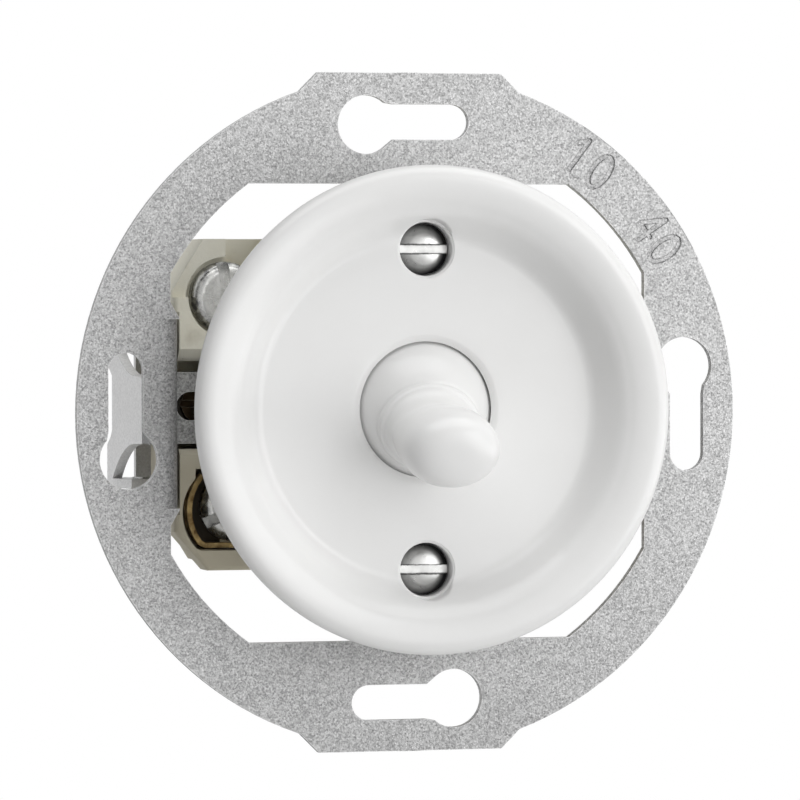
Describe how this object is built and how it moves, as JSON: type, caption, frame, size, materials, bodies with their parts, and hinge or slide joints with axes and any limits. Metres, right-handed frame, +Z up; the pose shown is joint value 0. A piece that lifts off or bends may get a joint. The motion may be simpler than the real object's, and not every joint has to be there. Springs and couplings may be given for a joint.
{
  "type": "light switch",
  "caption": "Flush light switch: a porcelain dish with a tilting lever on a keyholed support ring, with a ceramic base, terminals and spreading claws.",
  "frame": {"origin": "centre of the keyhole circle on the back face of the support ring", "axes": "+X to the right as seen from the room, +Y back into the wall, +Z up"},
  "size_m": [0.0702, 0.0458, 0.0702],
  "materials": {
    "porcelain": "glossy white glaze",
    "base_ceramic": "matt cream",
    "galvanised_sheet": "grained galvanised zinc",
    "zinc_steel": "zinc-plated",
    "nickel_screws": "nickel-plated, slightly worn",
    "brass": "bare brass, slightly dull",
    "insulator": "brown moulding"
  },
  "bodies": {
    "insert": {"support_ring": "galvanised_sheet", "yoke_plate": "zinc_steel", "base_housing": "base_ceramic", "porcelain_cover": "porcelain", "cover_screws": "nickel_screws", "yoke_screws": "zinc_steel", "hinge_pin": "zinc_steel", "fixed_rivets": "brass", "spring_seat": "zinc_steel", "claw_pins": "zinc_steel", "toggle_spring": "zinc_steel", "contact_upper_left": "brass", "pillar_upper_left": "brass", "terminal_screw_upper_left": "nickel_screws", "contact_upper_right": "brass", "pillar_upper_right": "brass", "terminal_screw_upper_right": "nickel_screws", "contact_lower_left": "brass", "pillar_lower_left": "brass", "terminal_screw_lower_left": "nickel_screws", "contact_lower_right": "brass", "pillar_lower_right": "brass", "terminal_screw_lower_right": "nickel_screws", "clamp_plate_left": "zinc_steel", "clamp_strip_left": "brass", "clamp_plate_right": "zinc_steel", "clamp_strip_right": "brass"},
    "toggle": {"lever": "porcelain", "lever_stem": "brass", "lever_hub": "brass"},
    "slider": {"contact_slider": "insulator", "contact_bridge": "brass", "bridge_rivets": "brass"},
    "claw_left": {"claw_left": "zinc_steel"},
    "claw_right": {"claw_right": "zinc_steel"},
    "claw_screw_left": {"claw_screw_left": "brass"},
    "claw_screw_right": {"claw_screw_right": "brass"}
  },
  "joints": [
    {"name": "lever_tilt", "type": "hinge", "parent": "insert", "child": "toggle", "pos_m": [0, -0.0015, 0.00042], "axis": [-1, 0, 0], "range_deg": [0, 27.4], "deforming": ["toggle_spring"]},
    {"name": "contact_slide", "type": "slide", "parent": "insert", "child": "slider", "axis": [0, 0, -1], "range_m": [0, 0.00394]},
    {"name": "claw_screw_left_turn", "type": "hinge", "parent": "insert", "child": "claw_screw_left", "pos_m": [-0.0208, 0.0066, 0.00092], "axis": [0, 1, 0], "range_deg": [0, 720]},
    {"name": "claw_screw_right_turn", "type": "hinge", "parent": "insert", "child": "claw_screw_right", "pos_m": [0.0208, 0.0066, 0.00092], "axis": [0, 1, 0], "range_deg": [0, 720]},
    {"name": "claw_left_spread", "type": "hinge", "parent": "insert", "child": "claw_left", "pos_m": [-0.0242, 0.0184, 0.00022], "axis": [0, 0, -1], "range_deg": [0, 13]},
    {"name": "claw_right_spread", "type": "hinge", "parent": "insert", "child": "claw_right", "pos_m": [0.0242, 0.0184, 0.00022], "axis": [0, 0, 1], "range_deg": [0, 13]}
  ],
  "couplings": [
    {"joint": "contact_slide", "follows": "lever_tilt", "m_per_rad": 0.00822},
    {"joint": "claw_screw_left_turn", "follows": "claw_left_spread", "ratio": 55.38},
    {"joint": "claw_screw_right_turn", "follows": "claw_right_spread", "ratio": 55.38}
  ]
}
